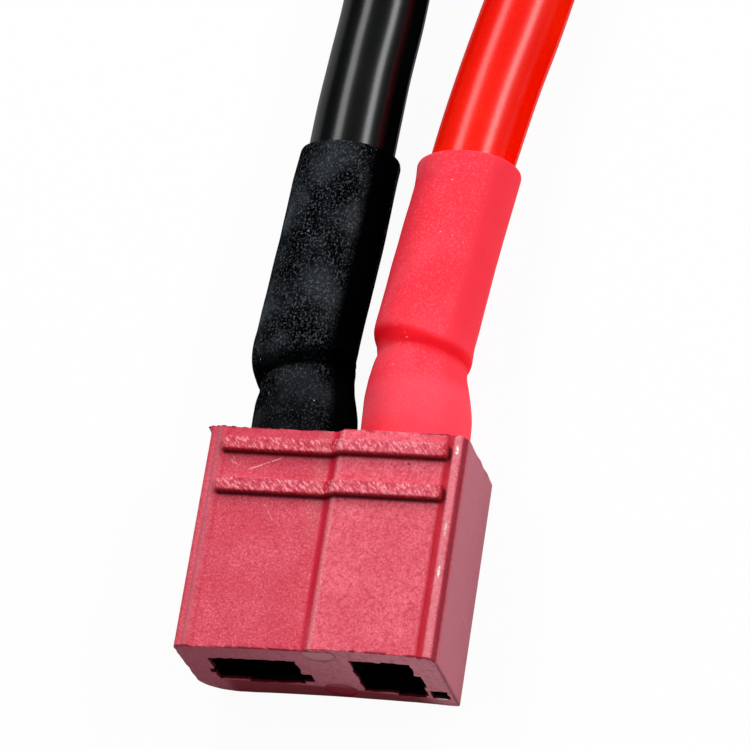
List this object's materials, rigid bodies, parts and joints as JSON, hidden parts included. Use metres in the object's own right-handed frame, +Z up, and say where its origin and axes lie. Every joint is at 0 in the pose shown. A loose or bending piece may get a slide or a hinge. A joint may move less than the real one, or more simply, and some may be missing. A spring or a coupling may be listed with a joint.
{
  "type": "parallel battery harness",
  "caption": "Y harness that joins two battery plugs in parallel: a female flat-blade plug, heavy leads, sleeved splices and light leads to male plugs.",
  "frame": {"origin": "centre of the underside of the female housing, on the table", "axes": "+X across the plug from the flat contact to the upright contact, +Y from the mating face towards the leads, +Z up"},
  "size_m": [0.0365, 0.1688, 0.0093],
  "materials": {
    "housing_plastic": "glass-filled nylon, fine satin grain",
    "contact_gold": "gold-plated, satin",
    "spring_steel": "bright rolled",
    "solder": "bright, slightly grainy",
    "tinned_barrel": "tin-plated copper, satin",
    "copper_strands": "tinned and bare copper strands",
    "black_silicone": "smooth silicone, soft gloss",
    "red_silicone": "smooth silicone, soft gloss",
    "black_sleeving": "shrunk tubing, matte and slightly dusty",
    "red_sleeving": "shrunk tubing, matte"
  },
  "bodies": {
    "root": {"female_housing": "housing_plastic", "negative_strip": "contact_gold", "positive_strip": "contact_gold", "negative_leaf_spring": "spring_steel", "positive_leaf_spring": "spring_steel", "negative_solder": "solder", "positive_solder": "solder", "black_trunk_lead": "black_silicone", "red_trunk_lead": "red_silicone", "left_black_lead": "black_silicone", "right_black_lead": "black_silicone", "left_red_lead": "red_silicone", "right_red_lead": "red_silicone", "black_trunk_strands": "copper_strands", "red_trunk_strands": "copper_strands", "left_black_strands": "copper_strands", "right_black_strands": "copper_strands", "left_red_strands": "copper_strands", "right_red_strands": "copper_strands", "black_trunk_sleeve": "black_sleeving", "red_trunk_sleeve": "red_sleeving", "black_splice_sleeve": "black_sleeving", "red_splice_sleeve": "red_sleeving", "left_black_sleeve": "black_sleeving", "right_black_sleeve": "black_sleeving", "left_red_sleeve": "red_sleeving", "right_red_sleeve": "red_sleeving", "black_splice_barrel": "tinned_barrel", "red_splice_barrel": "tinned_barrel", "left_male_housing": "housing_plastic", "right_male_housing": "housing_plastic", "left_negative_blade": "contact_gold", "right_negative_blade": "contact_gold", "left_positive_blade": "contact_gold", "right_positive_blade": "contact_gold", "left_negative_solder": "solder", "right_negative_solder": "solder", "left_positive_solder": "solder", "right_positive_solder": "solder"}
  },
  "joints": []
}
